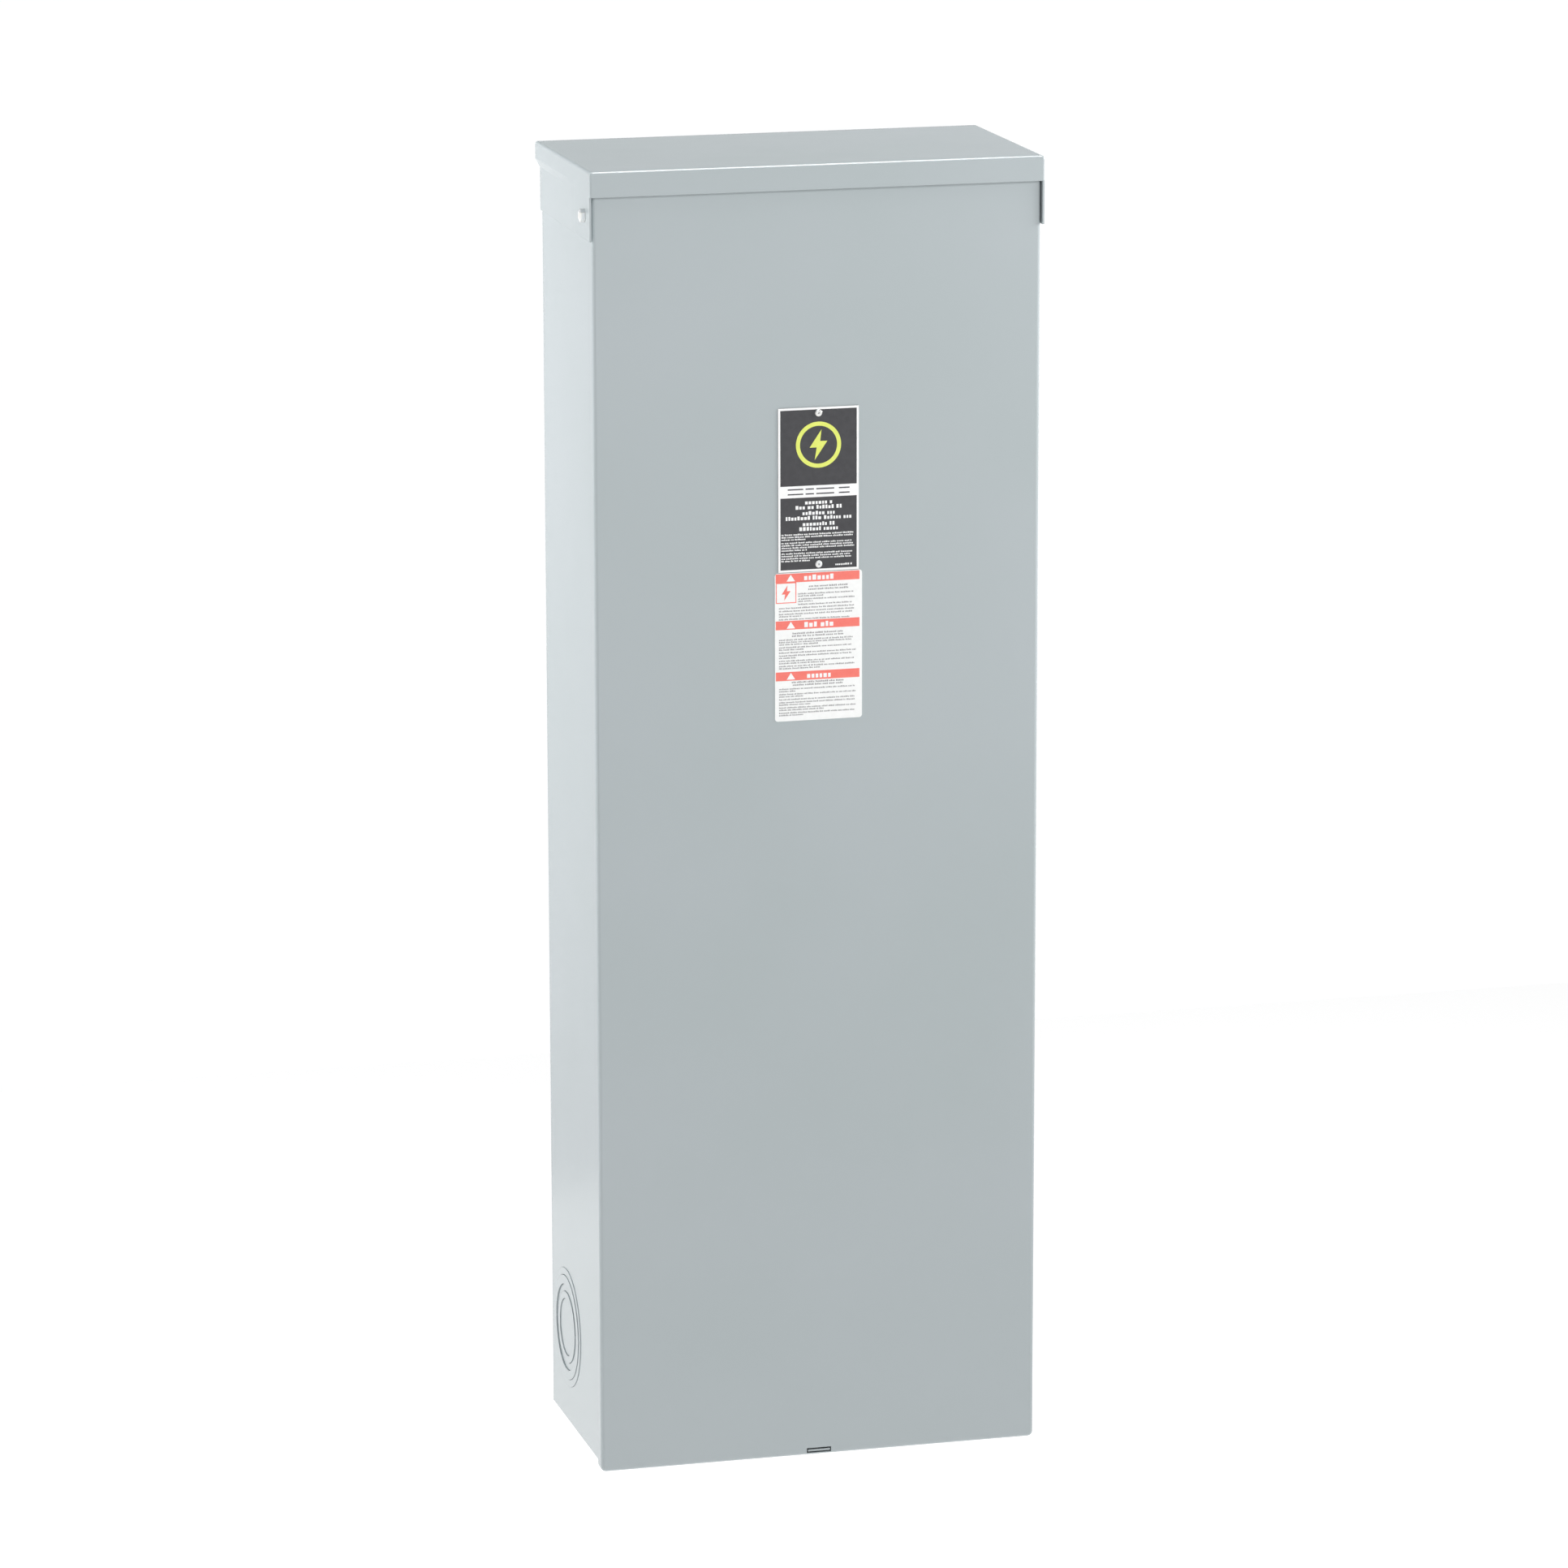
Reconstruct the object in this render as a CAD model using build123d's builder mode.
from build123d import *
import os
from math import cos, radians, sin

# Outdoor enclosed circuit breaker: a rainproof sheet-steel enclosure with a top-hinged cover.
# Millimetres, +Z up, the front faces -Y. The origin is the centre of the four wall-mounting
# holes, on the face of the wall.

os.makedirs("parts", exist_ok=True)

# ---------------------------------------------------------------- driving dimensions
SHEET = 1.5  # enclosure steel
BEND = 3.0  # outside radius of a press-brake bend

OVERALL_HEIGHT = 1088.0
COVER_WIDTH = 374.4
BOX_WIDTH = 370.2
HOOD_WIDTH = 379.0
COVER_FRONT = -193.0
BOX_BACK = -5.0  # the back panel stands this far off the wall, on its pressed pads

TOP = OVERALL_HEIGHT / 2
BOTTOM = -OVERALL_HEIGHT / 2
HOOD_FRONT = COVER_FRONT - 2.8
HOOD_LIP = 20.5
WING_DROP = 56.0
LIP_BOTTOM = TOP - HOOD_LIP
HOOD_UNDER = TOP - SHEET

BOX_BOTTOM = BOTTOM + 3.2
WALL_BOTTOM = BOX_BOTTOM + 1.8  # the side walls end above the endwall's bend
BACK_INNER = BOX_BACK - SHEET
WALL_OUTER = BOX_WIDTH / 2
WALL_INNER = WALL_OUTER - SHEET
WALL_FRONT = COVER_FRONT + 3.5

# Cover pivots: close under the hood's lip, so that the cover stops against the lip at 85 degrees.
PIVOT_Y = COVER_FRONT + 17.5
PIVOT_Z = TOP - 37.0
BOLT_RADIUS = 3.175
BOLT_HOLE = BOLT_RADIUS + 0.1
BOLT_HEAD_FLATS = 9.5
BOLT_HEAD_HEIGHT = 4.1
NUT_FLATS = 11.1

# Wall-mounting holes, through pads pressed out of the back panel.
MOUNT_SPACING_X = 254.0
MOUNT_SPACING_Z = 914.4
MOUNT_HOLE_RADIUS = 5.5
PAD_FACE_RADIUS = 19.0
PAD_ROOT_RADIUS = 26.0

# Concentric knockouts for 1-1/2, 2, 2-1/2, 3 and 3-1/2 inch conduit.
KNOCKOUT_RADII = (24.4, 30.75, 36.7, 44.7, 51.05)
KNOCKOUT_SLIT = 0.35
KNOCKOUT_STEPS = (0.0, 0.7, 0.0, 1.0, 0.5)  # how far each ring stands out, centre first
KNOCKOUT_TIE = 3.0
KNOCKOUT_TIE_LENGTH = 1.0
SIDE_KNOCKOUT_Y = -60.0
SIDE_KNOCKOUT_Z = BOTTOM + 86.4
BOTTOM_KNOCKOUT_X = 80.0
BOTTOM_KNOCKOUT_Y = -97.0

# Tongue of the bottom endwall, in its slot in the cover.
TONGUE_HALF = 9.5
SLOT_HALF = 10.5
SLOT_LOW = BOTTOM + 1.8
SLOT_HIGH = BOTTOM + 6.1

WALL_FLANGE = 13.0
COVER_FLANGE = 12.5
COVER_BOTTOM_FLANGE = 24.0
COVER_SCREW_Y = COVER_FRONT + 16.0

# Breaker: three poles, in a case about 6 x 11 x 4 inches.
PAN_FRONT = -40.0
PAN_SHEET = 2.0
POLE_PITCH = 50.8
POLES = (-POLE_PITCH, 0.0, POLE_PITCH)
BREAKER_HALF_WIDTH = 76.2
BREAKER_HALF_HEIGHT = 139.7
BREAKER_Z = 10.0
BASE_FRONT = PAN_FRONT - 58.0
BREAKER_FRONT = PAN_FRONT - 103.0
ESCUTCHEON_FRONT = BREAKER_FRONT - 7.0
CHAMBER_HALF = 22.0
CHAMBER_TOP = 92.0
POCKET_HALF = 20.0
POCKET_START = 99.7
STRAP_BACK = -52.0
STRAP_FRONT = STRAP_BACK - 4.0
TRIP_TOP = -35.5
TRIP_BOTTOM = -91.5

HANDLE_Y = -118.0
HANDLE_Z = BREAKER_Z + 5.0
HANDLE_LEAN = 21.0  # the handle rests this far below level, at OFF

CROSSBAR_Y = -66.0
CROSSBAR_Z = BREAKER_Z - 5.0
CROSSBAR_RADIUS = 9.0
ARM_LEAN = 28.0  # the open contact arms lean this far forward

DIAL_Z = BREAKER_Z - 62.0
BUTTON_X = 45.0
BUTTON_Z = BREAKER_Z - 14.0

DEADFRONT_FRONT = -148.0
DEADFRONT_HALF_WIDTH = 118.0
DEADFRONT_HALF_HEIGHT = 185.0

NAMEPLATE_SIZE = (67.8, 135.2)
NAMEPLATE_Z = BOTTOM + 822.2
NAMEPLATE_THICKNESS = 0.6
NAMEPLATE_RIVETS_Z = (BOTTOM + 885.1, BOTTOM + 760.4)
RIVET_HOLE = 1.7
LABEL_SIZE = (73.6, 123.3)
LABEL_Z = BOTTOM + 692.3
LABEL_THICKNESS = 0.25

LEFT_AND_RIGHT = (-1, 1)


def block(x, y, z, mode=Mode.ADD):
    """A rectangular block between the two limits given along each axis."""
    with Locations(((x[0] + x[1]) / 2, (y[0] + y[1]) / 2, (z[0] + z[1]) / 2)):
        Box(abs(x[1] - x[0]), abs(y[1] - y[0]), abs(z[1] - z[0]), mode=mode)


def rod_x(radius, x, y, z, mode=Mode.ADD):
    """A round rod along X, between two limits."""
    with Locations(((x[0] + x[1]) / 2, y, z)):
        Cylinder(radius, abs(x[1] - x[0]), rotation=(0, 90, 0), mode=mode)


def rod_y(radius, x, y, z, mode=Mode.ADD):
    """A round rod along Y, between two limits."""
    with Locations((x, (y[0] + y[1]) / 2, z)):
        Cylinder(radius, abs(y[1] - y[0]), rotation=(90, 0, 0), mode=mode)


def rod_z(radius, x, y, z, mode=Mode.ADD):
    """A round rod along Z, between two limits."""
    with Locations((x, y, (z[0] + z[1]) / 2)):
        Cylinder(radius, abs(z[1] - z[0]), mode=mode)


def front_plane(y):
    """A plane at depth y that faces the front: its own axes are X and Z."""
    return Plane.XZ.offset(-y)


def wall_holes():
    """The four corners of the wall-mounting pattern, in a front plane's own axes."""
    return GridLocations(MOUNT_SPACING_X, MOUNT_SPACING_Z, 2, 2)


# ---------------------------------------------------------------- enclosure
pad_depth = -BOX_BACK
with BuildPart() as back_panel:
    block((-WALL_OUTER, WALL_OUTER), (BACK_INNER, BOX_BACK), (WALL_BOTTOM, HOOD_UNDER))
    with Locations(front_plane(-pad_depth / 2)):
        with wall_holes():
            Cone(PAD_FACE_RADIUS, PAD_ROOT_RADIUS, pad_depth)
    with Locations(front_plane(-pad_depth / 2 - SHEET)):
        with wall_holes():
            Cone(PAD_FACE_RADIUS - SHEET, PAD_ROOT_RADIUS - SHEET, pad_depth, mode=Mode.SUBTRACT)
    with BuildSketch(front_plane(0)):
        with wall_holes():
            Circle(MOUNT_HOLE_RADIUS)
    extrude(amount=pad_depth + SHEET, mode=Mode.SUBTRACT)


def side_wall(side):
    """One side wall: a flat web with an inward flange at the back and the front.

    Its top front corner is cut away for the swing of the cover's top edge, all but a round tab
    that carries the pivot bolt.
    """
    inner = side * WALL_INNER
    flange = side * (WALL_INNER - WALL_FLANGE)
    flange_bottom = BOX_BOTTOM + 18.0
    front_flange_top = PIVOT_Z - 30.0
    tab_radius = PIVOT_Y - WALL_FRONT
    cut_depth = 48.0
    cut_height = 50.0
    with BuildPart() as wall:
        with BuildSketch(Plane.YZ.offset(inner)):
            with Locations(((WALL_FRONT + BACK_INNER) / 2, (WALL_BOTTOM + HOOD_UNDER) / 2)):
                Rectangle(BACK_INNER - WALL_FRONT, HOOD_UNDER - WALL_BOTTOM)
            with Locations((WALL_FRONT + cut_depth / 2, PIVOT_Z + cut_height / 2)):
                Rectangle(cut_depth, cut_height, mode=Mode.SUBTRACT)
            with Locations((PIVOT_Y, PIVOT_Z)):
                Circle(tab_radius)
                Circle(BOLT_HOLE, mode=Mode.SUBTRACT)
            with Locations((SIDE_KNOCKOUT_Y, SIDE_KNOCKOUT_Z)):
                Circle(KNOCKOUT_RADII[-1], mode=Mode.SUBTRACT)
        extrude(amount=side * SHEET)
        block((flange, inner), (BACK_INNER - SHEET, BACK_INNER), (flange_bottom, HOOD_UNDER))
        block((flange, inner), (WALL_FRONT, WALL_FRONT + SHEET), (flange_bottom, front_flange_top))
    return wall


left_side_wall = side_wall(-1)
right_side_wall = side_wall(1)

endwall_top = BOX_BOTTOM + SHEET
endwall_front = WALL_FRONT + 2.0
flange_top = BOX_BOTTOM + 15.0
flange_inner = WALL_INNER - SHEET
side_flange_back = BACK_INNER - 10.0
back_flange_half = 165.0
# The tongue is lanced out of the front flange and leaves a window of its own length above it.
window_top = endwall_top + endwall_front - COVER_FRONT
with BuildPart() as bottom_endwall:
    block((-WALL_INNER, WALL_INNER), (endwall_front, BACK_INNER), (BOX_BOTTOM, endwall_top))
    block((-TONGUE_HALF, TONGUE_HALF), (COVER_FRONT, endwall_front), (BOX_BOTTOM, endwall_top))
    for side in LEFT_AND_RIGHT:
        block(
            (side * flange_inner, side * WALL_INNER),
            (endwall_front, side_flange_back),
            (BOX_BOTTOM, flange_top),
        )
    block(
        (-back_flange_half, back_flange_half),
        (BACK_INNER - SHEET, BACK_INNER),
        (BOX_BOTTOM, flange_top),
    )
    block((-WALL_INNER, WALL_INNER), (endwall_front, endwall_front + SHEET), (BOX_BOTTOM, flange_top))
    for side in LEFT_AND_RIGHT:
        rod_z(
            KNOCKOUT_RADII[-1],
            side * BOTTOM_KNOCKOUT_X,
            BOTTOM_KNOCKOUT_Y,
            (BOX_BOTTOM, endwall_top),
            Mode.SUBTRACT,
        )
    rod_z(BOLT_HOLE, 0, COVER_SCREW_Y, (BOX_BOTTOM, endwall_top), Mode.SUBTRACT)
    block(
        (-TONGUE_HALF, TONGUE_HALF),
        (endwall_front, endwall_front + SHEET),
        (endwall_top, window_top),
        Mode.SUBTRACT,
    )


def knockout(plane):
    """Concentric rings, stepped in and out, joined by two ties at each slit.

    The plane lies on the outer face of the sheet and faces out of the box.
    """
    edge_tie = KNOCKOUT_RADII[-1] - KNOCKOUT_SLIT / 2
    with BuildPart() as rings:
        for index, (outer, step) in enumerate(zip(KNOCKOUT_RADII, KNOCKOUT_STEPS)):
            with BuildSketch(plane.offset(step - SHEET)):
                Circle(outer - KNOCKOUT_SLIT / 2)
                if index:
                    Circle(KNOCKOUT_RADII[index - 1] + KNOCKOUT_SLIT / 2, mode=Mode.SUBTRACT)
            extrude(amount=SHEET)
        # A tie is flush with the higher of the two rings that it joins.
        for radius, step, next_step in zip(KNOCKOUT_RADII, KNOCKOUT_STEPS, KNOCKOUT_STEPS[1:]):
            with BuildSketch(plane.offset(max(step, next_step) - SHEET)):
                with Locations((-radius, 0), (radius, 0)):
                    Rectangle(KNOCKOUT_TIE_LENGTH, KNOCKOUT_TIE)
            extrude(amount=SHEET)
        with BuildSketch(plane.offset(KNOCKOUT_STEPS[-1] - SHEET)):
            with Locations((-edge_tie, 0), (edge_tie, 0)):
                Rectangle(KNOCKOUT_SLIT / 2, KNOCKOUT_TIE)
        extrude(amount=SHEET)
    return rings


left_knockouts = knockout(
    Plane(origin=(-WALL_OUTER, SIDE_KNOCKOUT_Y, SIDE_KNOCKOUT_Z), x_dir=(0, 1, 0), z_dir=(-1, 0, 0))
)
right_knockouts = knockout(
    Plane(origin=(WALL_OUTER, SIDE_KNOCKOUT_Y, SIDE_KNOCKOUT_Z), x_dir=(0, 1, 0), z_dir=(1, 0, 0))
)
bottom_left_knockouts = knockout(
    Plane(origin=(-BOTTOM_KNOCKOUT_X, BOTTOM_KNOCKOUT_Y, BOX_BOTTOM), x_dir=(1, 0, 0), z_dir=(0, 0, -1))
)
bottom_right_knockouts = knockout(
    Plane(origin=(BOTTOM_KNOCKOUT_X, BOTTOM_KNOCKOUT_Y, BOX_BOTTOM), x_dir=(1, 0, 0), z_dir=(0, 0, -1))
)

# The hood: top, lip and upper sides are one pressed tray. Its side wings carry on down below the
# lip. Towards the back they draw in to the box, across a crease just above the lip's lower edge.
half_hood = HOOD_WIDTH / 2
wing_taper_start = PIVOT_Y + 36.0
wing_draw_in = 2.6
wing_front = HOOD_FRONT + 0.8
wing_back = BOX_BACK - 0.5
wing_bottom = TOP - WING_DROP
crease_top = LIP_BOTTOM + 6.5
hood_corner = 1.6
hood_bend = 2.4


def wing_taper(side, draw_in, back):
    """Plan of the back part of one wing, drawn in towards the box at its back end."""
    outer = side * half_hood
    inner = side * (half_hood - SHEET)
    shift = side * draw_in
    return (
        (outer, wing_taper_start),
        (outer - shift, back),
        (inner - shift, back),
        (inner, wing_taper_start),
    )


with BuildPart() as hood:
    block((-half_hood, half_hood), (HOOD_FRONT, 0), (LIP_BOTTOM, TOP))
    fillet(hood.edges().filter_by(Axis.Z).group_by(Axis.Y)[0], hood_corner)
    fillet(hood.edges().group_by(Axis.Z)[-1].sort_by(Axis.Y)[:-1], hood_bend)
    block(
        (-half_hood + SHEET, half_hood - SHEET),
        (HOOD_FRONT + SHEET, 0),
        (LIP_BOTTOM, HOOD_UNDER),
        Mode.SUBTRACT,
    )
    block(
        (-half_hood + SHEET, half_hood - SHEET),
        (-SHEET, 0),
        (crease_top, HOOD_UNDER),
    )
    for side in LEFT_AND_RIGHT:
        wing_x = (side * (half_hood - SHEET), side * half_hood)
        block(wing_x, (wing_front, wing_taper_start), (wing_bottom, LIP_BOTTOM))
        block(wing_x, (wing_taper_start, 0), (LIP_BOTTOM, crease_top), Mode.SUBTRACT)
        with BuildSketch(Plane.XY.offset(crease_top)):
            Polygon(*wing_taper(side, 0.0, 0.0), align=None)
        with BuildSketch(Plane.XY.offset(LIP_BOTTOM)):
            Polygon(*wing_taper(side, wing_draw_in, wing_back), align=None)
        loft(ruled=True)
        with BuildSketch(Plane.XY.offset(LIP_BOTTOM)):
            Polygon(*wing_taper(side, wing_draw_in, wing_back), align=None)
        extrude(amount=wing_bottom - LIP_BOTTOM)
        rod_x(BOLT_HOLE, wing_x, PIVOT_Y, PIVOT_Z, Mode.SUBTRACT)

# ---------------------------------------------------------------- cover
half_cover = COVER_WIDTH / 2
cover_top = LIP_BOTTOM + 10.0
cover_back = COVER_FRONT + COVER_BOTTOM_FLANGE
cover_inner = COVER_FRONT + SHEET
flange_back = COVER_FRONT + COVER_FLANGE
ear_radius = 10.0
ear_overlap = 4.0
corner_relief = 12.0
flange_corner = 6.0
cover_corner = 4.5
pivot_hole = BOLT_RADIUS + 0.325
screw_slot_half = BOLT_RADIUS + 0.4

with BuildPart() as cover_hollow:
    block(
        (-half_cover + SHEET, half_cover - SHEET),
        (cover_inner, cover_back + 1.0),
        (BOTTOM + SHEET, cover_top + 1.0),
    )
    fillet(cover_hollow.edges().filter_by(Axis.Y).group_by(Axis.Z)[0], cover_corner - SHEET)
    fillet(cover_hollow.edges().group_by(Axis.Y)[0].sort_by(Axis.Z)[:-1], BEND - SHEET)

with BuildPart() as cover:
    block((-half_cover, half_cover), (COVER_FRONT, cover_back), (BOTTOM, cover_top))
    fillet(cover.edges().filter_by(Axis.Y).group_by(Axis.Z)[0], cover_corner)
    fillet(cover.edges().group_by(Axis.Y)[0].sort_by(Axis.Z)[:-1], BEND)
    add(cover_hollow.part, mode=Mode.SUBTRACT)
    for side in LEFT_AND_RIGHT:
        # The side flange ends short of the bottom flange's depth, with a rounded lower corner.
        edge = side * (half_cover + 1.0)
        relief = side * (half_cover - corner_relief)
        block((relief, edge), (flange_back, cover_back), (BOTTOM, cover_top), Mode.SUBTRACT)
        block(
            (relief, side * (half_cover - SHEET)),
            (COVER_FRONT + BEND, cover_back),
            (BOTTOM, BOTTOM + SHEET + BEND),
            Mode.SUBTRACT,
        )
        with BuildSketch(Plane.YZ.offset(relief)):
            with Locations((flange_back - flange_corner / 2, BOTTOM + flange_corner / 2)):
                Rectangle(flange_corner, flange_corner)
            with Locations((flange_back - flange_corner, BOTTOM + flange_corner)):
                Circle(flange_corner, mode=Mode.SUBTRACT)
        extrude(amount=side * corner_relief, mode=Mode.SUBTRACT)
    for side in LEFT_AND_RIGHT:
        with BuildSketch(Plane.YZ.offset(side * (half_cover - SHEET))):
            with Locations((PIVOT_Y, PIVOT_Z)):
                Circle(ear_radius)
            with Locations(((flange_back + PIVOT_Y - ear_overlap) / 2, PIVOT_Z)):
                Rectangle(PIVOT_Y - flange_back + ear_overlap, 2 * ear_radius)
        extrude(amount=side * SHEET)
        rod_x(
            pivot_hole,
            (side * (half_cover - SHEET), side * half_cover),
            PIVOT_Y,
            PIVOT_Z,
            Mode.SUBTRACT,
        )
    block(
        (-SLOT_HALF, SLOT_HALF),
        (COVER_FRONT, COVER_FRONT + BEND),
        (SLOT_LOW, SLOT_HIGH),
        Mode.SUBTRACT,
    )
    with BuildSketch(Plane.XY.offset(BOTTOM)):
        with Locations((0, COVER_SCREW_Y)):
            Circle(screw_slot_half)
        with Locations((0, (COVER_SCREW_Y + cover_back) / 2)):
            Rectangle(2 * screw_slot_half, cover_back - COVER_SCREW_Y)
    extrude(amount=SHEET, mode=Mode.SUBTRACT)
    for height in NAMEPLATE_RIVETS_Z:
        rod_y(RIVET_HOLE, 0, (COVER_FRONT, cover_inner), height, Mode.SUBTRACT)

with BuildPart() as nameplate:
    with BuildSketch(front_plane(COVER_FRONT)):
        with Locations((0, NAMEPLATE_Z)):
            RectangleRounded(*NAMEPLATE_SIZE, 1.0)
        for height in NAMEPLATE_RIVETS_Z:
            with Locations((0, height)):
                Circle(RIVET_HOLE, mode=Mode.SUBTRACT)
    extrude(amount=NAMEPLATE_THICKNESS)

plate_front = COVER_FRONT - NAMEPLATE_THICKNESS
rivet_head = 3.0
rivet_front = plate_front - 1.3
rivet_shank = RIVET_HOLE - 0.1
rivet_tail_length = 1.8
rivet_bore = 0.7
with BuildPart() as nameplate_rivets:
    for height in NAMEPLATE_RIVETS_Z:
        rod_y(rivet_head, 0, (rivet_front, plate_front), height)
        rod_y(rivet_shank, 0, (plate_front, cover_inner), height)
        rod_y(rivet_head - 0.4, 0, (cover_inner, cover_inner + rivet_tail_length), height)
    fillet(nameplate_rivets.edges().filter_by(GeomType.CIRCLE).group_by(Axis.Y)[0], 1.0)
    for height in NAMEPLATE_RIVETS_Z:
        rod_y(rivet_bore, 0, (rivet_front, plate_front + 1.0), height, Mode.SUBTRACT)

with BuildPart() as safety_label:
    with BuildSketch(front_plane(COVER_FRONT)):
        with Locations((0, LABEL_Z)):
            RectangleRounded(*LABEL_SIZE, 2.5)
    extrude(amount=LABEL_THICKNESS)

# ---------------------------------------------------------------- enclosure fasteners
nut_height = 5.5
nut_bore = BOLT_RADIUS + 0.02
with BuildPart() as pivot_bolts:
    for side in LEFT_AND_RIGHT:
        with BuildSketch(Plane.YZ.offset(side * half_hood)):
            with Locations((PIVOT_Y, PIVOT_Z)):
                RegularPolygon(BOLT_HEAD_FLATS / 2, 6, major_radius=False, rotation=30)
        extrude(amount=side * BOLT_HEAD_HEIGHT)
        rod_x(BOLT_RADIUS, (side * (WALL_INNER - 8.0), side * half_hood), PIVOT_Y, PIVOT_Z)
    chamfer(pivot_bolts.faces().group_by(Axis.X)[0].edges(), 0.9)
    chamfer(pivot_bolts.faces().group_by(Axis.X)[-1].edges(), 0.9)

with BuildPart() as pivot_nuts:
    for side in LEFT_AND_RIGHT:
        with BuildSketch(Plane.YZ.offset(side * WALL_INNER)):
            with Locations((PIVOT_Y, PIVOT_Z)):
                RegularPolygon(NUT_FLATS / 2, 6, major_radius=False)
                Circle(nut_bore, mode=Mode.SUBTRACT)
        extrude(amount=-side * nut_height)

# The screw hangs under the cover's bottom flange, whose slot is open at the back, so the cover
# swings clear of it once it is slackened.
screw_flange_top = BOTTOM - 0.3
screw_flange_bottom = screw_flange_top - 0.9
screw_flange_radius = 6.3
screw_head_height = 2.1
with BuildPart() as cover_screw:
    rod_z(screw_flange_radius, 0, COVER_SCREW_Y, (screw_flange_bottom, screw_flange_top))
    with BuildSketch(Plane.XY.offset(screw_flange_bottom)):
        with Locations((0, COVER_SCREW_Y)):
            RegularPolygon(BOLT_HEAD_FLATS / 2, 6, major_radius=False)
    extrude(amount=-screw_head_height)
    rod_z(BOLT_RADIUS, 0, COVER_SCREW_Y, (screw_flange_top, endwall_top + 8.0))

with BuildPart() as cover_screw_nut:
    with BuildSketch(Plane.XY.offset(endwall_top)):
        with Locations((0, COVER_SCREW_Y)):
            RegularPolygon(NUT_FLATS / 2, 6, major_radius=False)
            Circle(nut_bore, mode=Mode.SUBTRACT)
    extrude(amount=nut_height)

# ---------------------------------------------------------------- mounting pan
pan_half = 110.0
foot_outer = pan_half + 18.0
pan_bottom = BREAKER_Z - 250.0
pan_top = BREAKER_Z + 250.0
stud_x = pan_half + 9.0
stud_radius = 3.0
pan_nut_flats = 10.0
stud_points = [(x, z) for x in (-stud_x, stud_x) for z in (pan_bottom + 30.0, pan_top - 30.0)]
mount_screw_x = POLE_PITCH / 2
mount_screw_z = 120.0
mount_screw_radius = 2.4
mount_screw_points = [
    (x, BREAKER_Z + z)
    for x in (-mount_screw_x, mount_screw_x)
    for z in (-mount_screw_z, mount_screw_z)
]
foot_front = BACK_INNER - PAN_SHEET
pan_back = PAN_FRONT + PAN_SHEET

with BuildPart() as mounting_pan:
    block((-pan_half, pan_half), (PAN_FRONT, pan_back), (pan_bottom, pan_top))
    for side in LEFT_AND_RIGHT:
        leg = (side * (pan_half - PAN_SHEET), side * pan_half)
        block(leg, (pan_back, BACK_INNER), (pan_bottom, pan_top))
        block((side * pan_half, side * foot_outer), (foot_front, BACK_INNER), (pan_bottom, pan_top))
    for x, z in stud_points:
        rod_y(stud_radius + 0.3, x, (foot_front, BACK_INNER), z, Mode.SUBTRACT)
    for x, z in mount_screw_points:
        rod_y(mount_screw_radius + 0.1, x, (PAN_FRONT, pan_back), z, Mode.SUBTRACT)

with BuildPart() as weld_studs:
    for x, z in stud_points:
        rod_y(stud_radius, x, (BACK_INNER - 15.0, BACK_INNER), z)

with BuildPart() as pan_nuts:
    with BuildSketch(front_plane(foot_front)):
        with Locations(*stud_points):
            RegularPolygon(pan_nut_flats / 2, 6, major_radius=False)
            Circle(stud_radius + 0.05, mode=Mode.SUBTRACT)
    extrude(amount=nut_height)

# ---------------------------------------------------------------- breaker case
def breaker_z(*heights):
    """Heights measured from the middle of the breaker, as heights of the whole object."""
    return tuple(BREAKER_Z + height for height in heights)


breaker_x = (-BREAKER_HALF_WIDTH, BREAKER_HALF_WIDTH)
bay_half = POLE_PITCH + CHAMBER_HALF
full_height = breaker_z(-BREAKER_HALF_HEIGHT, BREAKER_HALF_HEIGHT)
inside_height = breaker_z(-CHAMBER_TOP, CHAMBER_TOP)
pocket_heights = (
    breaker_z(POCKET_START, BREAKER_HALF_HEIGHT + 1.0),
    breaker_z(-BREAKER_HALF_HEIGHT - 1.0, -POCKET_START),
)
strap_slots = (breaker_z(CHAMBER_TOP, POCKET_START), breaker_z(-POCKET_START, -CHAMBER_TOP))
case_screw_points = [
    (x, BREAKER_Z + z)
    for x in (-mount_screw_x, mount_screw_x)
    for z in (-CHAMBER_TOP - 4.0, CHAMBER_TOP + 4.0)
]
case_screw_radius = 1.7
mount_head_radius = 5.0
case_head_radius = 3.2
case_corner = 2.5
case_floor = PAN_FRONT - 4.0
trip_floor = PAN_FRONT - 8.0
strap_half = 12.5
crossbar_room = CROSSBAR_RADIUS + 0.8

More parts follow.
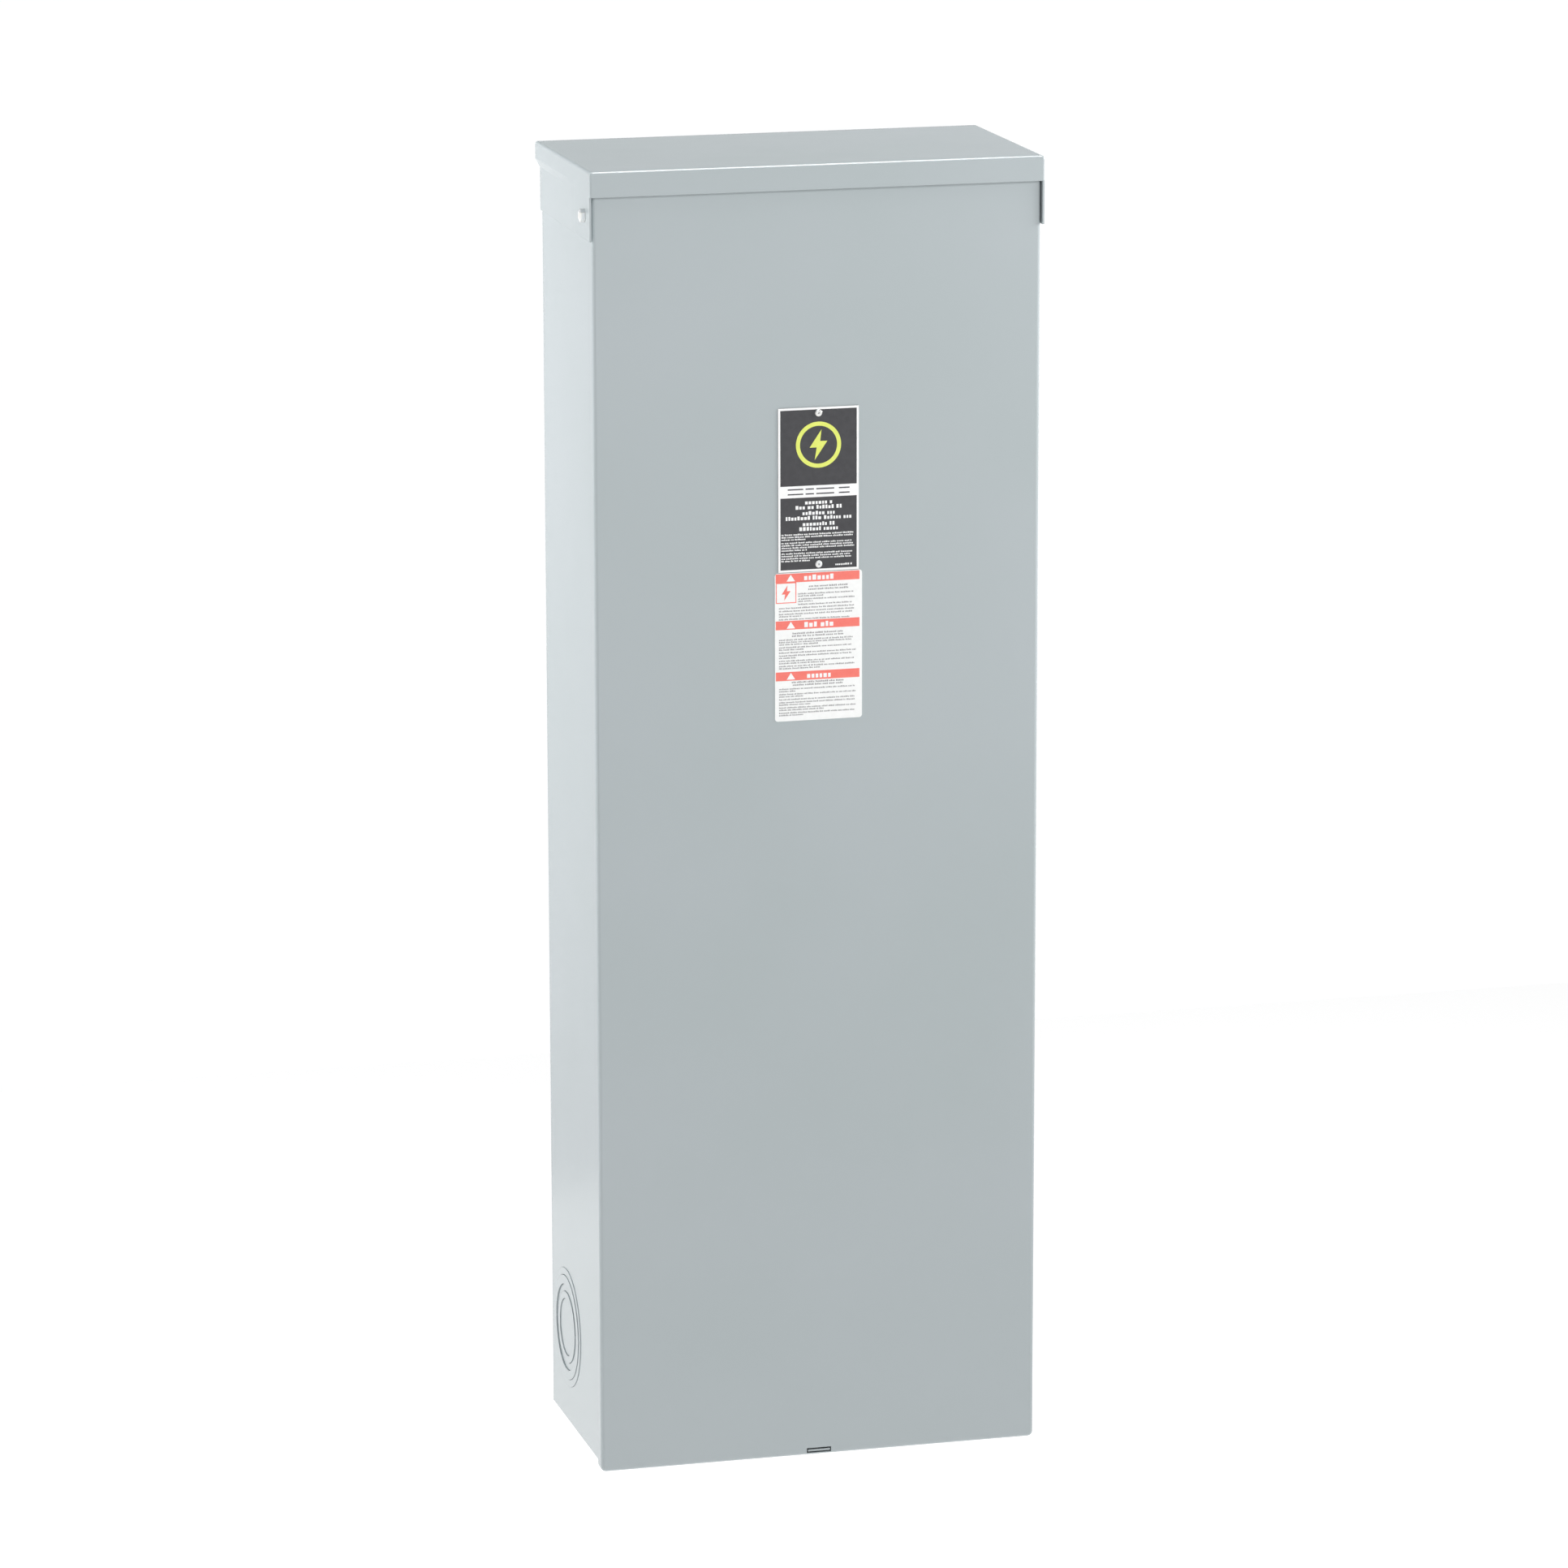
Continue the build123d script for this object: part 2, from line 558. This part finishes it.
with BuildPart() as breaker_base:
    block(breaker_x, (BASE_FRONT, PAN_FRONT), full_height)
    fillet(breaker_base.edges().filter_by(Axis.Y), case_corner)
    for pole in POLES:
        chamber = (pole - CHAMBER_HALF, pole + CHAMBER_HALF)
        pocket = (pole - POCKET_HALF, pole + POCKET_HALF)
        strap = (pole - strap_half, pole + strap_half)
        block(chamber, (BASE_FRONT, case_floor), breaker_z(TRIP_TOP, CHAMBER_TOP), Mode.SUBTRACT)
        for heights in pocket_heights:
            block(pocket, (BASE_FRONT, STRAP_BACK), heights, Mode.SUBTRACT)
        for heights in strap_slots:
            block(strap, (STRAP_FRONT, STRAP_BACK), heights, Mode.SUBTRACT)
    block(
        (-bay_half + 2.8, bay_half - 2.8),
        (BASE_FRONT, trip_floor),
        breaker_z(-CHAMBER_TOP, TRIP_TOP),
        Mode.SUBTRACT,
    )
    rod_x(crossbar_room, (-bay_half, bay_half), CROSSBAR_Y, CROSSBAR_Z, Mode.SUBTRACT)
    block(
        (-bay_half, bay_half),
        (BASE_FRONT, CROSSBAR_Y),
        (CROSSBAR_Z - crossbar_room, CROSSBAR_Z + crossbar_room),
        Mode.SUBTRACT,
    )
    for x, z in mount_screw_points:
        rod_y(mount_screw_radius + 0.1, x, (BASE_FRONT, PAN_FRONT), z, Mode.SUBTRACT)
    for x, z in case_screw_points:
        rod_y(case_screw_radius + 0.1, x, (BASE_FRONT, BASE_FRONT + 20.0), z, Mode.SUBTRACT)

case_wall = 3.5
mount_head_seat = BREAKER_FRONT + 4.0
case_head_seat = BREAKER_FRONT + 2.5
cover_skin = BREAKER_FRONT + case_wall
escutcheon_half = (30.0, 34.0)
escutcheon_room = (20.0, 28.0)
handle_slot = (14.8, 19.8)
dial_radius = 9.0
dial_recess = BREAKER_FRONT + 2.0
dial_shaft_radius = 2.5
dial_points = [(pole * 0.85, DIAL_Z) for pole in POLES]
button_radius = 4.0

with BuildPart() as breaker_cover:
    block(breaker_x, (BREAKER_FRONT, BASE_FRONT), full_height)
    fillet(breaker_cover.edges().filter_by(Axis.Y), case_corner)
    fillet(breaker_cover.edges().group_by(Axis.Y)[0], 1.5)
    with BuildSketch(front_plane(BREAKER_FRONT)):
        with Locations((0, HANDLE_Z)):
            RectangleRounded(2 * escutcheon_half[0], 2 * escutcheon_half[1], 3.0)
    extrude(amount=BREAKER_FRONT - ESCUTCHEON_FRONT)
    block(
        (-bay_half, bay_half),
        (cover_skin, BASE_FRONT),
        inside_height,
        Mode.SUBTRACT,
    )
    block(
        (-escutcheon_room[0], escutcheon_room[0]),
        (ESCUTCHEON_FRONT + case_wall, cover_skin),
        (HANDLE_Z - escutcheon_room[1], HANDLE_Z + escutcheon_room[1]),
        Mode.SUBTRACT,
    )
    block(
        (-handle_slot[0], handle_slot[0]),
        (ESCUTCHEON_FRONT, ESCUTCHEON_FRONT + case_wall),
        (HANDLE_Z - handle_slot[1], HANDLE_Z + handle_slot[1]),
        Mode.SUBTRACT,
    )
    for pole in POLES:
        for heights in pocket_heights:
            pocket = (pole - POCKET_HALF, pole + POCKET_HALF)
            block(pocket, (BREAKER_FRONT, BASE_FRONT), heights, Mode.SUBTRACT)
    for x, z in dial_points:
        rod_y(dial_radius + 1.0, x, (BREAKER_FRONT, dial_recess), z, Mode.SUBTRACT)
        rod_y(dial_shaft_radius + 0.3, x, (dial_recess, cover_skin), z, Mode.SUBTRACT)
    rod_y(button_radius + 0.3, BUTTON_X, (BREAKER_FRONT, cover_skin), BUTTON_Z, Mode.SUBTRACT)
    for x, z in mount_screw_points:
        rod_y(mount_screw_radius + 0.1, x, (BREAKER_FRONT, BASE_FRONT), z, Mode.SUBTRACT)
        rod_y(mount_head_radius + 0.2, x, (BREAKER_FRONT, mount_head_seat), z, Mode.SUBTRACT)
    for x, z in case_screw_points:
        rod_y(case_screw_radius + 0.1, x, (BREAKER_FRONT, BASE_FRONT), z, Mode.SUBTRACT)
        rod_y(case_head_radius + 0.2, x, (BREAKER_FRONT, case_head_seat), z, Mode.SUBTRACT)

with BuildPart() as breaker_mounting_screws:
    for x, z in mount_screw_points:
        rod_y(mount_head_radius, x, (BREAKER_FRONT + 0.5, mount_head_seat), z)
        rod_y(mount_screw_radius, x, (mount_head_seat, pan_back + 6.0), z)
        slot = (BREAKER_FRONT, BREAKER_FRONT + 1.8)
        block((x - 4.0, x + 4.0), slot, (z - 0.6, z + 0.6), Mode.SUBTRACT)

with BuildPart() as breaker_cover_screws:
    for x, z in case_screw_points:
        rod_y(case_head_radius, x, (BREAKER_FRONT + 0.3, case_head_seat), z)
        rod_y(case_screw_radius, x, (case_head_seat, BASE_FRONT + 18.0), z)
        slot = (BREAKER_FRONT, BREAKER_FRONT + 1.3)
        block((x - 2.6, x + 2.6), slot, (z - 0.4, z + 0.4), Mode.SUBTRACT)

# ---------------------------------------------------------------- current path
contact_front = STRAP_FRONT - 4.6
with BuildPart() as line_contacts:
    for pole in POLES:
        strap = (pole - strap_half + 0.1, pole + strap_half - 0.1)
        block(strap, (STRAP_FRONT + 0.1, STRAP_BACK), breaker_z(50.0, 137.0))
        block((pole - 6.0, pole + 6.0), (contact_front, STRAP_FRONT + 0.1), breaker_z(53.0, 63.0))

with BuildPart() as load_straps:
    for pole in POLES:
        strap = (pole - strap_half + 0.1, pole + strap_half - 0.1)
        block(strap, (STRAP_FRONT + 0.1, STRAP_BACK), breaker_z(-137.0, TRIP_BOTTOM))

with BuildPart() as trip_unit:
    block(
        (-bay_half + 3.3, bay_half - 3.3),
        (BASE_FRONT + 0.5, trip_floor),
        breaker_z(TRIP_BOTTOM, TRIP_TOP),
    )
    fillet(trip_unit.edges().group_by(Axis.Y)[0], 2.0)

# Each stack has steel plates with a V-shaped mouth that faces the contact, in two fibre cheeks.
chute_low = 74.0
chute_high = 90.0
chute_half = 18.0
chute_plates = 6
chute_pitch = 5.6
chute_first = -66.0
chute_mouth = chute_low + 8.0
chute_sheet = 1.2
with BuildPart() as arc_chutes:
    for pole in POLES:
        for index in range(chute_plates):
            plate_y = chute_first - index * chute_pitch
            with BuildSketch(front_plane(plate_y)):
                with BuildLine():
                    Polyline(
                        (pole - chute_half, BREAKER_Z + chute_low),
                        (pole - chute_half, BREAKER_Z + chute_high),
                        (pole + chute_half, BREAKER_Z + chute_high),
                        (pole + chute_half, BREAKER_Z + chute_low),
                        (pole, BREAKER_Z + chute_mouth),
                        close=True,
                    )
                make_face()
            extrude(amount=chute_sheet)
        for side in LEFT_AND_RIGHT:
            cheek = (pole + side * chute_half, pole + side * (chute_half + chute_sheet))
            block(cheek, (-97.0, -62.0), breaker_z(chute_low - 4.0, chute_high))

# ---------------------------------------------------------------- mechanism
frame_outer = 20.0
frame_inner = 18.0
pin_radius = 3.0
frame_front = HANDLE_Y - 10.0
frame_back = -80.0
frame_middle = (frame_front + frame_back) / 2
with BuildPart() as mechanism_frame:
    for side in LEFT_AND_RIGHT:
        with BuildSketch(Plane.YZ.offset(side * frame_inner)):
            with Locations((frame_middle, BREAKER_Z - 2.0)):
                RectangleRounded(frame_back - frame_front, 67.0, 4.0)
            with Locations((frame_middle, BREAKER_Z - 20.0)):
                Rectangle(frame_back - frame_front, 31.0)
            with Locations((HANDLE_Y, HANDLE_Z)):
                Circle(pin_radius + 0.1, mode=Mode.SUBTRACT)
        extrude(amount=side * (frame_outer - frame_inner))

with BuildPart() as handle_pin:
    rod_x(pin_radius, (-frame_outer, frame_outer), HANDLE_Y, HANDLE_Z)
    chamfer(handle_pin.edges().filter_by(GeomType.CIRCLE), 0.4)

# The handle is made pointing straight out of its pivot, along its own plane, then leaned to OFF.
lean = radians(HANDLE_LEAN)
handle_frame = Plane(
    origin=(0, HANDLE_Y, HANDLE_Z),
    x_dir=(0, -cos(lean), -sin(lean)),
    z_dir=(1, 0, 0),
)
shield_half_angle = 50.0
shield_inner = 24.0
shield_outer = 26.5
handle_half = 17.0
grip_half = 13.5
# Half of the grip's side view, from its root to its tip: distance from the pivot, half height.
grip_profile = ((22.0, 6.0), (58.0, 4.6), (62.0, 2.5))
with BuildPart() as breaker_handle:
    with BuildSketch(handle_frame.offset(-handle_half)):
        Circle(8.0)
        with Locations((12.0, 0)):
            Rectangle(26.0, 9.0)
        Circle(pin_radius + 0.1, mode=Mode.SUBTRACT)
    extrude(amount=2 * handle_half)
    with BuildSketch(handle_frame.offset(-handle_half)):
        with BuildLine():
            for radius in (shield_inner, shield_outer):
                CenterArc((0, 0), radius, -shield_half_angle, 2 * shield_half_angle)
            for angle in (-shield_half_angle, shield_half_angle):
                spoke = Vector(cos(radians(angle)), sin(radians(angle)))
                Line(spoke * shield_inner, spoke * shield_outer)
        make_face()
    extrude(amount=2 * handle_half)
    with BuildSketch(handle_frame.offset(-grip_half)):
        with BuildLine():
            lower_side = [(distance, -height) for distance, height in grip_profile]
            Polyline(*lower_side, *reversed(grip_profile), close=True)
        make_face()
    extrude(amount=2 * grip_half)

# Contact arms, open at rest: each is a bar that stands up from the crossbar, leaned forward.
arm_lean = radians(ARM_LEAN)
arm_root = 4.0
arm_tip = 69.0
arm_width = 8.0
arm_depth = 6.0
tip_pad = 2.0


def arm_plane(pole):
    """A plane at a contact arm's pivot, whose normal runs out along the open arm."""
    return Plane(
        origin=(pole, CROSSBAR_Y, CROSSBAR_Z),
        x_dir=(1, 0, 0),
        z_dir=(0, -sin(arm_lean), cos(arm_lean)),
    )


with BuildPart() as contact_arms:
    for pole in POLES:
        with BuildSketch(arm_plane(pole).offset(arm_root)):
            Rectangle(arm_width, arm_depth)
        extrude(amount=arm_tip - arm_root)
        with BuildSketch(arm_plane(pole).offset(arm_tip - 10.0)):
            with Locations((0, (arm_depth + tip_pad) / 2)):
                Rectangle(arm_width, tip_pad)
        extrude(amount=9.0)

with BuildPart() as contact_crossbar:
    rod_x(CROSSBAR_RADIUS, (-bay_half + 0.8, bay_half - 0.8), CROSSBAR_Y, CROSSBAR_Z)
    for pole in POLES:
        with BuildSketch(arm_plane(pole).offset(arm_root)):
            Rectangle(arm_width, arm_depth)
        extrude(amount=CROSSBAR_RADIUS, mode=Mode.SUBTRACT)

# ---------------------------------------------------------------- breaker controls
with BuildPart() as trip_button:
    rod_y(button_radius, BUTTON_X, (BREAKER_FRONT - 3.0, cover_skin + 14.0), BUTTON_Z)
    rod_y(button_radius + 2.0, BUTTON_X, (cover_skin + 0.1, cover_skin + 2.1), BUTTON_Z)
    fillet(trip_button.edges().filter_by(GeomType.CIRCLE).group_by(Axis.Y)[0], 0.8)


def trip_dial(x):
    """One setting dial: a slotted knob in its recess, with a shaft back to the trip unit."""
    with BuildPart() as dial:
        rod_y(dial_radius, x, (BREAKER_FRONT - 1.5, dial_recess - 0.2), DIAL_Z)
        fillet(dial.edges().filter_by(GeomType.CIRCLE).group_by(Axis.Y)[0], 1.0)
        rod_y(dial_shaft_radius, x, (dial_recess - 0.2, BASE_FRONT - 0.3), DIAL_Z)
        rod_y(4.5, x, (cover_skin + 0.1, cover_skin + 2.0), DIAL_Z)
        slot = (BREAKER_FRONT - 1.5, BREAKER_FRONT)
        block((x - 6.5, x + 6.5), slot, (DIAL_Z - 0.8, DIAL_Z + 0.8), Mode.SUBTRACT)
    return dial


dial_places = dict(zip(("left", "centre", "right"), dial_points))
trip_dials = {name: trip_dial(point[0]) for name, point in dial_places.items()}

# ---------------------------------------------------------------- lugs
lug_half = 15.0
lug_front = -90.0
lug_bore_y = -73.0
lug_bore_radius = 11.0
lug_screw_radius = 7.0
line_lug_z = breaker_z(102.0, 137.0)
load_lug_z = breaker_z(-137.0, -102.0)


def lugs(heights):
    """Three wire lugs, one a pole, each a block with a wire bore and a tapped hole for its screw."""
    middle = (heights[0] + heights[1]) / 2
    with BuildPart() as blocks:
        for pole in POLES:
            block((pole - lug_half, pole + lug_half), (lug_front, STRAP_FRONT), heights)
        fillet(blocks.edges().filter_by(Axis.Z).group_by(Axis.Y)[0], 3.0)
        for pole in POLES:
            rod_z(lug_bore_radius, pole, lug_bore_y, heights, Mode.SUBTRACT)
            rod_y(lug_screw_radius + 0.1, pole, (lug_front, lug_bore_y), middle, Mode.SUBTRACT)
    return blocks


def lug_screws(places, tip_y, top_y, radius):
    """Set screws at the given X, Z places, each with a hexagon socket in its front end."""
    with BuildPart() as screws:
        for x, z in places:
            rod_y(radius, x, (top_y, tip_y), z)
        with BuildSketch(front_plane(top_y + radius * 0.6)):
            with Locations(*places):
                RegularPolygon(radius * 0.55, 6, major_radius=False)
        extrude(amount=radius * 0.6, mode=Mode.SUBTRACT)
    return screws


line_lugs = lugs(line_lug_z)
load_lugs = lugs(load_lug_z)
line_screw_places = [(pole, sum(line_lug_z) / 2) for pole in POLES]
load_screw_places = [(pole, sum(load_lug_z) / 2) for pole in POLES]
line_lug_screws = lug_screws(line_screw_places, lug_bore_y - 9.0, lug_front - 5.0, lug_screw_radius)
load_lug_screws = lug_screws(load_screw_places, lug_bore_y - 9.0, lug_front - 5.0, lug_screw_radius)

# ---------------------------------------------------------------- deadfront
bracket_x = 100.0
bracket_heights = breaker_z(-178.0, 178.0)
deadfront_back = DEADFRONT_FRONT + SHEET
deadfront_screw_points = [
    (side * (bracket_x + 10.0), BREAKER_Z + z) for side in LEFT_AND_RIGHT for z in (-160.0, 160.0)
]
deadfront_screw_radius = 2.0
deadfront_window = (126.0, 152.0)


def deadfront_bracket(side):
    """A Z-section riser from the pan to the deadfront."""
    with BuildPart() as bracket:
        foot = (side * (bracket_x - 16.0), side * bracket_x)
        riser = (side * bracket_x, side * (bracket_x + SHEET))
        shelf = (side * bracket_x, side * (bracket_x + 18.0))
        block(foot, (PAN_FRONT - SHEET, PAN_FRONT), bracket_heights)
        block(riser, (deadfront_back, PAN_FRONT), bracket_heights)
        block(shelf, (deadfront_back, deadfront_back + SHEET), bracket_heights)
        for x, z in deadfront_screw_points:
            rod_y(
                deadfront_screw_radius + 0.1,
                x,
                (deadfront_back, deadfront_back + SHEET),
                z,
                Mode.SUBTRACT,
            )
    return bracket


left_deadfront_bracket = deadfront_bracket(-1)
right_deadfront_bracket = deadfront_bracket(1)

with BuildPart() as deadfront:
    with BuildSketch(front_plane(deadfront_back)):
        with Locations((0, BREAKER_Z)):
            RectangleRounded(2 * DEADFRONT_HALF_WIDTH, 2 * DEADFRONT_HALF_HEIGHT, 6.0)
        with Locations((0, BREAKER_Z - 14.0)):
            RectangleRounded(*deadfront_window, 4.0, mode=Mode.SUBTRACT)
        with Locations(*deadfront_screw_points):
            Circle(deadfront_screw_radius + 0.1, mode=Mode.SUBTRACT)
    extrude(amount=SHEET)

with BuildPart() as deadfront_screws:
    for x, z in deadfront_screw_points:
        rod_y(4.5, x, (DEADFRONT_FRONT - 2.6, DEADFRONT_FRONT), z)
        rod_y(deadfront_screw_radius, x, (DEADFRONT_FRONT, deadfront_back + 6.0), z)
    fillet(deadfront_screws.edges().filter_by(GeomType.CIRCLE).group_by(Axis.Y)[0], 1.6)
    for x, z in deadfront_screw_points:
        slot = (DEADFRONT_FRONT - 2.6, DEADFRONT_FRONT - 1.4)
        block((x - 4.5, x + 4.5), slot, (z - 0.5, z + 0.5), Mode.SUBTRACT)

# ---------------------------------------------------------------- neutral and ground
neutral_x = -148.0
neutral_heights = (-330.0, -170.0)
insulator_front = BACK_INNER - 30.0
neutral_bar_front = insulator_front - 6.0
neutral_lug_front = neutral_bar_front - 36.0
neutral_lug_centres = (neutral_heights[0] + 28.0, neutral_heights[1] - 28.0)
neutral_screw_centres = (neutral_heights[0] + 66.0, neutral_heights[1] - 66.0)
neutral_screw_radius = 3.0

with BuildPart() as neutral_insulator:
    block((neutral_x - 18.0, neutral_x + 18.0), (insulator_front, BACK_INNER), neutral_heights)
    fillet(neutral_insulator.edges().filter_by(Axis.Y), 4.0)
    for z in neutral_screw_centres:
        rod_y(neutral_screw_radius + 0.1, neutral_x, (insulator_front, BACK_INNER), z, Mode.SUBTRACT)

with BuildPart() as neutral_bar:
    block(
        (neutral_x - 16.0, neutral_x + 16.0),
        (neutral_bar_front, insulator_front),
        (neutral_heights[0] + 6.0, neutral_heights[1] - 6.0),
    )
    for z in neutral_screw_centres:
        rod_y(neutral_screw_radius + 0.1, neutral_x, (neutral_bar_front, insulator_front), z, Mode.SUBTRACT)

with BuildPart() as neutral_lugs:
    for z in neutral_lug_centres:
        block(
            (neutral_x - lug_half, neutral_x + lug_half),
            (neutral_lug_front, neutral_bar_front),
            (z - 18.0, z + 18.0),
        )
    fillet(neutral_lugs.edges().filter_by(Axis.Z).group_by(Axis.Y)[0], 3.0)
    for z in neutral_lug_centres:
        rod_z(lug_bore_radius, neutral_x, neutral_bar_front - 15.0, (z - 18.0, z + 18.0), Mode.SUBTRACT)
        rod_y(
            lug_screw_radius + 0.1,
            neutral_x,
            (neutral_lug_front, neutral_bar_front - 15.0),
            z,
            Mode.SUBTRACT,
        )

neutral_lug_screws = lug_screws(
    [(neutral_x, z) for z in neutral_lug_centres],
    neutral_bar_front - 24.0,
    neutral_lug_front - 5.0,
    lug_screw_radius,
)

with BuildPart() as neutral_mounting_screws:
    for z in neutral_screw_centres:
        rod_y(5.5, neutral_x, (neutral_bar_front - 3.5, neutral_bar_front), z)
        rod_y(neutral_screw_radius, neutral_x, (neutral_bar_front, BACK_INNER), z)
        slot = (neutral_bar_front - 3.5, neutral_bar_front - 2.0)
        block((neutral_x - 5.5, neutral_x + 5.5), slot, (z - 0.6, z + 0.6), Mode.SUBTRACT)

# A copper strap from the foot of the neutral bar down to the back panel.
strap_bottom = neutral_heights[0] - 24.0
with BuildPart() as bonding_strap:
    block(
        (neutral_x - 8.0, neutral_x + 8.0),
        (neutral_bar_front, neutral_bar_front + 2.0),
        (neutral_heights[0] - 2.0, neutral_heights[0] + 6.0),
    )
    block(
        (neutral_x - 8.0, neutral_x + 8.0),
        (neutral_bar_front, BACK_INNER),
        (neutral_heights[0] - 4.0, neutral_heights[0] - 2.0),
    )
    block(
        (neutral_x - 8.0, neutral_x + 8.0),
        (BACK_INNER - 2.0, BACK_INNER),
        (strap_bottom, neutral_heights[0] - 4.0),
    )

ground_x = 150.0
ground_heights = (-400.0, -270.0)
ground_back = BACK_INNER - 8.0
ground_front = ground_back - 12.0
ground_wires = 6
ground_pitch = 14.0
ground_wire_z = [
    sum(ground_heights) / 2 + (index - (ground_wires - 1) / 2) * ground_pitch
    for index in range(ground_wires)
]
ground_mount_z = (ground_heights[0] + 10.0, ground_heights[1] - 10.0)

with BuildPart() as ground_bar:
    block((ground_x - 6.0, ground_x + 6.0), (ground_front, ground_back), ground_heights)
    for z in ground_mount_z:
        rod_y(6.0, ground_x, (ground_back, BACK_INNER), z)
        rod_y(2.6, ground_x, (ground_front, BACK_INNER), z, Mode.SUBTRACT)
    for z in ground_wire_z:
        rod_x(3.2, (ground_x - 6.0, ground_x + 6.0), ground_back - 5.0, z, Mode.SUBTRACT)
        rod_y(2.6, ground_x, (ground_front, ground_back - 5.0), z, Mode.SUBTRACT)

with BuildPart() as ground_wire_screws:
    for z in ground_wire_z:
        rod_y(4.2, ground_x, (ground_front - 5.0, ground_front - 2.0), z)
        rod_y(2.5, ground_x, (ground_front - 2.0, ground_back - 8.5), z)
        slot = (ground_front - 5.0, ground_front - 3.8)
        block((ground_x - 4.2, ground_x + 4.2), slot, (z - 0.5, z + 0.5), Mode.SUBTRACT)

with BuildPart() as ground_mounting_screws:
    for z in ground_mount_z:
        rod_y(4.8, ground_x, (ground_front - 3.2, ground_front), z)
        rod_y(2.5, ground_x, (ground_front, BACK_INNER), z)
        slot = (ground_front - 3.2, ground_front - 1.8)
        block((ground_x - 4.8, ground_x + 4.8), slot, (z - 0.5, z + 0.5), Mode.SUBTRACT)

# ---------------------------------------------------------------- one file for each piece
pieces = {
    "back_panel": back_panel,
    "left_side_wall": left_side_wall,
    "right_side_wall": right_side_wall,
    "bottom_endwall": bottom_endwall,
    "hood": hood,
    "left_knockouts": left_knockouts,
    "right_knockouts": right_knockouts,
    "bottom_left_knockouts": bottom_left_knockouts,
    "bottom_right_knockouts": bottom_right_knockouts,
    "cover": cover,
    "nameplate": nameplate,
    "nameplate_rivets": nameplate_rivets,
    "safety_label": safety_label,
    "pivot_bolts": pivot_bolts,
    "pivot_nuts": pivot_nuts,
    "cover_screw": cover_screw,
    "cover_screw_nut": cover_screw_nut,
    "mounting_pan": mounting_pan,
    "weld_studs": weld_studs,
    "pan_nuts": pan_nuts,
    "breaker_base": breaker_base,
    "breaker_cover": breaker_cover,
    "breaker_mounting_screws": breaker_mounting_screws,
    "breaker_cover_screws": breaker_cover_screws,
    "line_contacts": line_contacts,
    "load_straps": load_straps,
    "trip_unit": trip_unit,
    "arc_chutes": arc_chutes,
    "mechanism_frame": mechanism_frame,
    "handle_pin": handle_pin,
    "breaker_handle": breaker_handle,
    "contact_arms": contact_arms,
    "contact_crossbar": contact_crossbar,
    "trip_button": trip_button,
    "line_lugs": line_lugs,
    "load_lugs": load_lugs,
    "line_lug_screws": line_lug_screws,
    "load_lug_screws": load_lug_screws,
    "left_deadfront_bracket": left_deadfront_bracket,
    "right_deadfront_bracket": right_deadfront_bracket,
    "deadfront": deadfront,
    "deadfront_screws": deadfront_screws,
    "neutral_insulator": neutral_insulator,
    "neutral_bar": neutral_bar,
    "neutral_lugs": neutral_lugs,
    "neutral_lug_screws": neutral_lug_screws,
    "neutral_mounting_screws": neutral_mounting_screws,
    "bonding_strap": bonding_strap,
    "ground_bar": ground_bar,
    "ground_wire_screws": ground_wire_screws,
    "ground_mounting_screws": ground_mounting_screws,
}
for name, dial in trip_dials.items():
    pieces[f"trip_dial_{name}"] = dial

for name, piece in pieces.items():
    piece.part.label = name
    export_step(piece.part, f"parts/{name}.step")
